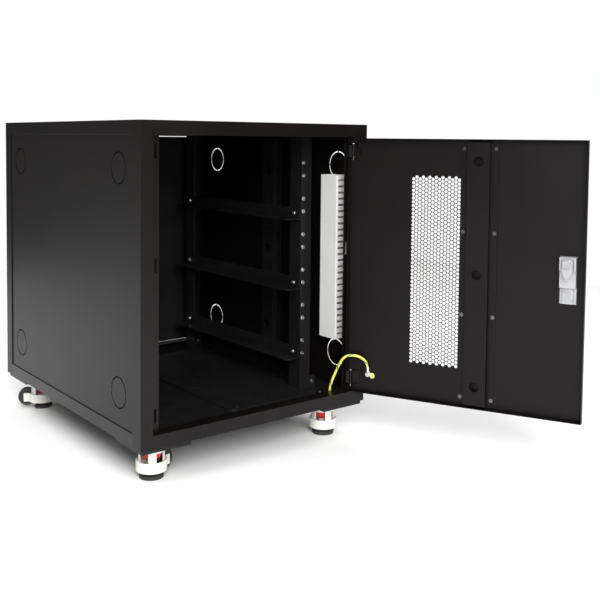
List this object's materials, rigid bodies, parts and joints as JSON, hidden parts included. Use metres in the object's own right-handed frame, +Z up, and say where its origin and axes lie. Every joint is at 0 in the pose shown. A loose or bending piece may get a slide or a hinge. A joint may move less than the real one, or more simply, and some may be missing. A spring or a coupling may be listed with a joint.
{
  "type": "network server rack cabinet",
  "caption": "Floor-standing steel rack cabinet with a hinged perforated front door, mounting posts, shelf ledges, wiring duct and levelling casters.",
  "frame": {"origin": "on the floor under the middle of the cabinet body", "axes": "+X to the right of someone facing the front, +Y from the front to the rear, +Z up; the door is at rest 116 degrees open"},
  "size_m": [0.802, 1.2284, 0.75],
  "materials": {
    "black_powder_coat": "satin, fine texture",
    "bright_zinc": "bright zinc plate",
    "grey_duct_plastic": "matte",
    "red_plastic": "matte",
    "striped_insulation": "yellow and green striped insulation",
    "lock_die_cast": "satin plated die-cast",
    "black_handle_plastic": "fine matte grain",
    "cream_die_cast": "semi-gloss",
    "black_nylon": "matte",
    "black_rubber": "matte"
  },
  "bodies": {
    "cabinet": {"front_frame": "black_powder_coat", "rear_frame": "black_powder_coat", "base_pan": "black_powder_coat", "top_cover": "black_powder_coat", "left_side_panel": "black_powder_coat", "right_side_panel": "black_powder_coat", "left_panel_stiffener": "black_powder_coat", "right_panel_stiffener": "black_powder_coat", "rear_panel": "black_powder_coat", "rack_post_front_left": "black_powder_coat", "rack_post_front_right": "black_powder_coat", "rack_post_rear_left": "black_powder_coat", "rack_post_rear_right": "black_powder_coat", "shelf_rail_lower_left": "black_powder_coat", "shelf_rail_lower_right": "black_powder_coat", "shelf_rail_middle_left": "black_powder_coat", "shelf_rail_middle_right": "black_powder_coat", "shelf_rail_upper_left": "black_powder_coat", "shelf_rail_upper_right": "black_powder_coat", "rail_thread_inserts": "bright_zinc", "frame_screws": "bright_zinc", "wiring_duct": "grey_duct_plastic", "wiring_duct_cover": "grey_duct_plastic", "duct_rivets": "red_plastic", "cabinet_ground_stud": "bright_zinc", "ground_wire": "striped_insulation", "upper_hinge_bracket": "black_powder_coat", "lower_hinge_bracket": "black_powder_coat", "front_left_caster_plate": "cream_die_cast", "front_right_caster_plate": "cream_die_cast", "rear_left_caster_plate": "cream_die_cast", "rear_right_caster_plate": "cream_die_cast"},
    "front_door": {"front_door_panel": "black_powder_coat", "door_stiffener": "black_powder_coat", "door_rivets": "bright_zinc", "upper_hinge_leaf": "black_powder_coat", "lower_hinge_leaf": "black_powder_coat", "hinge_pins": "bright_zinc", "hinge_screws": "black_powder_coat", "lock_housing": "lock_die_cast", "door_ground_stud": "bright_zinc"},
    "door_latch": {"lock_spindle": "lock_die_cast", "latch_cam": "bright_zinc"},
    "door_handle": {"swing_handle": "black_handle_plastic"},
    "front_left_caster_swivel": {"front_left_caster_cage": "cream_die_cast"},
    "front_left_caster_roller": {"front_left_caster_wheel": "black_nylon"},
    "front_left_caster_thumbwheel": {"front_left_caster_adjuster": "red_plastic"},
    "front_left_caster_pad": {"front_left_caster_foot": "black_rubber"},
    "front_right_caster_swivel": {"front_right_caster_cage": "cream_die_cast"},
    "front_right_caster_roller": {"front_right_caster_wheel": "black_nylon"},
    "front_right_caster_thumbwheel": {"front_right_caster_adjuster": "red_plastic"},
    "front_right_caster_pad": {"front_right_caster_foot": "black_rubber"},
    "rear_left_caster_swivel": {"rear_left_caster_cage": "cream_die_cast"},
    "rear_left_caster_roller": {"rear_left_caster_wheel": "black_nylon"},
    "rear_left_caster_thumbwheel": {"rear_left_caster_adjuster": "red_plastic"},
    "rear_left_caster_pad": {"rear_left_caster_foot": "black_rubber"},
    "rear_right_caster_swivel": {"rear_right_caster_cage": "cream_die_cast"},
    "rear_right_caster_roller": {"rear_right_caster_wheel": "black_nylon"},
    "rear_right_caster_thumbwheel": {"rear_right_caster_adjuster": "red_plastic"},
    "rear_right_caster_pad": {"rear_right_caster_foot": "black_rubber"}
  },
  "joints": [
    {"name": "door_swing", "type": "hinge", "parent": "cabinet", "child": "front_door", "pos_m": [0.262, -0.37, 0.417], "axis": [0, 0, 1], "range_deg": [-116, 6], "deforming": ["ground_wire"]},
    {"name": "latch_turn", "type": "hinge", "parent": "front_door", "child": "door_latch", "pos_m": [0.48393, -0.81361, 0.456], "axis": [-0.8988, -0.4384, 0], "range_deg": [0, 90]},
    {"name": "handle_swing", "type": "hinge", "parent": "door_latch", "child": "door_handle", "pos_m": [0.49228, -0.80953, 0.456], "axis": [0.4384, -0.8988, 0], "range_deg": [0, 85]},
    {"name": "front_left_caster_turn", "type": "hinge", "parent": "cabinet", "child": "front_left_caster_swivel", "pos_m": [-0.235, -0.301, 0.06], "axis": [0, 0, 1], "continuous": true},
    {"name": "front_left_wheel_roll", "type": "hinge", "parent": "front_left_caster_swivel", "child": "front_left_caster_roller", "pos_m": [-0.20023, -0.28835, 0.028], "axis": [-0.342, 0.9397, 0], "continuous": true},
    {"name": "front_left_adjuster_turn", "type": "hinge", "parent": "front_left_caster_swivel", "child": "front_left_caster_thumbwheel", "pos_m": [-0.235, -0.301, 0.05], "axis": [0, 0, 1], "range_deg": [-1640, 616]},
    {"name": "front_left_foot_travel", "type": "slide", "parent": "front_left_caster_swivel", "child": "front_left_caster_pad", "axis": [0, 0, 1], "range_m": [-0.003, 0.008]},
    {"name": "front_right_caster_turn", "type": "hinge", "parent": "cabinet", "child": "front_right_caster_swivel", "pos_m": [0.235, -0.301, 0.06], "axis": [0, 0, 1], "continuous": true},
    {"name": "front_right_wheel_roll", "type": "hinge", "parent": "front_right_caster_swivel", "child": "front_right_caster_roller", "pos_m": [0.26531, -0.27978, 0.028], "axis": [-0.5736, 0.8192, 0], "continuous": true},
    {"name": "front_right_adjuster_turn", "type": "hinge", "parent": "front_right_caster_swivel", "child": "front_right_caster_thumbwheel", "pos_m": [0.235, -0.301, 0.05], "axis": [0, 0, 1], "range_deg": [-1640, 616]},
    {"name": "front_right_foot_travel", "type": "slide", "parent": "front_right_caster_swivel", "child": "front_right_caster_pad", "axis": [0, 0, 1], "range_m": [-0.003, 0.008]},
    {"name": "rear_left_caster_turn", "type": "hinge", "parent": "cabinet", "child": "rear_left_caster_swivel", "pos_m": [-0.235, 0.301, 0.06], "axis": [0, 0, 1], "continuous": true},
    {"name": "rear_left_wheel_roll", "type": "hinge", "parent": "rear_left_caster_swivel", "child": "rear_left_caster_roller", "pos_m": [-0.26704, 0.3195, 0.028], "axis": [-0.5, -0.866, 0], "continuous": true},
    {"name": "rear_left_adjuster_turn", "type": "hinge", "parent": "rear_left_caster_swivel", "child": "rear_left_caster_thumbwheel", "pos_m": [-0.235, 0.301, 0.05], "axis": [0, 0, 1], "range_deg": [-1640, 616]},
    {"name": "rear_left_foot_travel", "type": "slide", "parent": "rear_left_caster_swivel", "child": "rear_left_caster_pad", "axis": [0, 0, 1], "range_m": [-0.003, 0.008]},
    {"name": "rear_right_caster_turn", "type": "hinge", "parent": "cabinet", "child": "rear_right_caster_swivel", "pos_m": [0.235, 0.301, 0.06], "axis": [0, 0, 1], "continuous": true},
    {"name": "rear_right_wheel_roll", "type": "hinge", "parent": "rear_right_caster_swivel", "child": "rear_right_caster_roller", "pos_m": [0.22858, 0.33744, 0.028], "axis": [-0.9848, -0.1736, 0], "continuous": true},
    {"name": "rear_right_adjuster_turn", "type": "hinge", "parent": "rear_right_caster_swivel", "child": "rear_right_caster_thumbwheel", "pos_m": [0.235, 0.301, 0.05], "axis": [0, 0, 1], "range_deg": [-1640, 616]},
    {"name": "rear_right_foot_travel", "type": "slide", "parent": "rear_right_caster_swivel", "child": "rear_right_caster_pad", "axis": [0, 0, 1], "range_m": [-0.003, 0.008]}
  ],
  "couplings": [
    {"joint": "front_left_foot_travel", "follows": "front_left_adjuster_turn", "m_per_rad": -0.00027852},
    {"joint": "front_right_foot_travel", "follows": "front_right_adjuster_turn", "m_per_rad": -0.00027852},
    {"joint": "rear_left_foot_travel", "follows": "rear_left_adjuster_turn", "m_per_rad": -0.00027852},
    {"joint": "rear_right_foot_travel", "follows": "rear_right_adjuster_turn", "m_per_rad": -0.00027852}
  ]
}
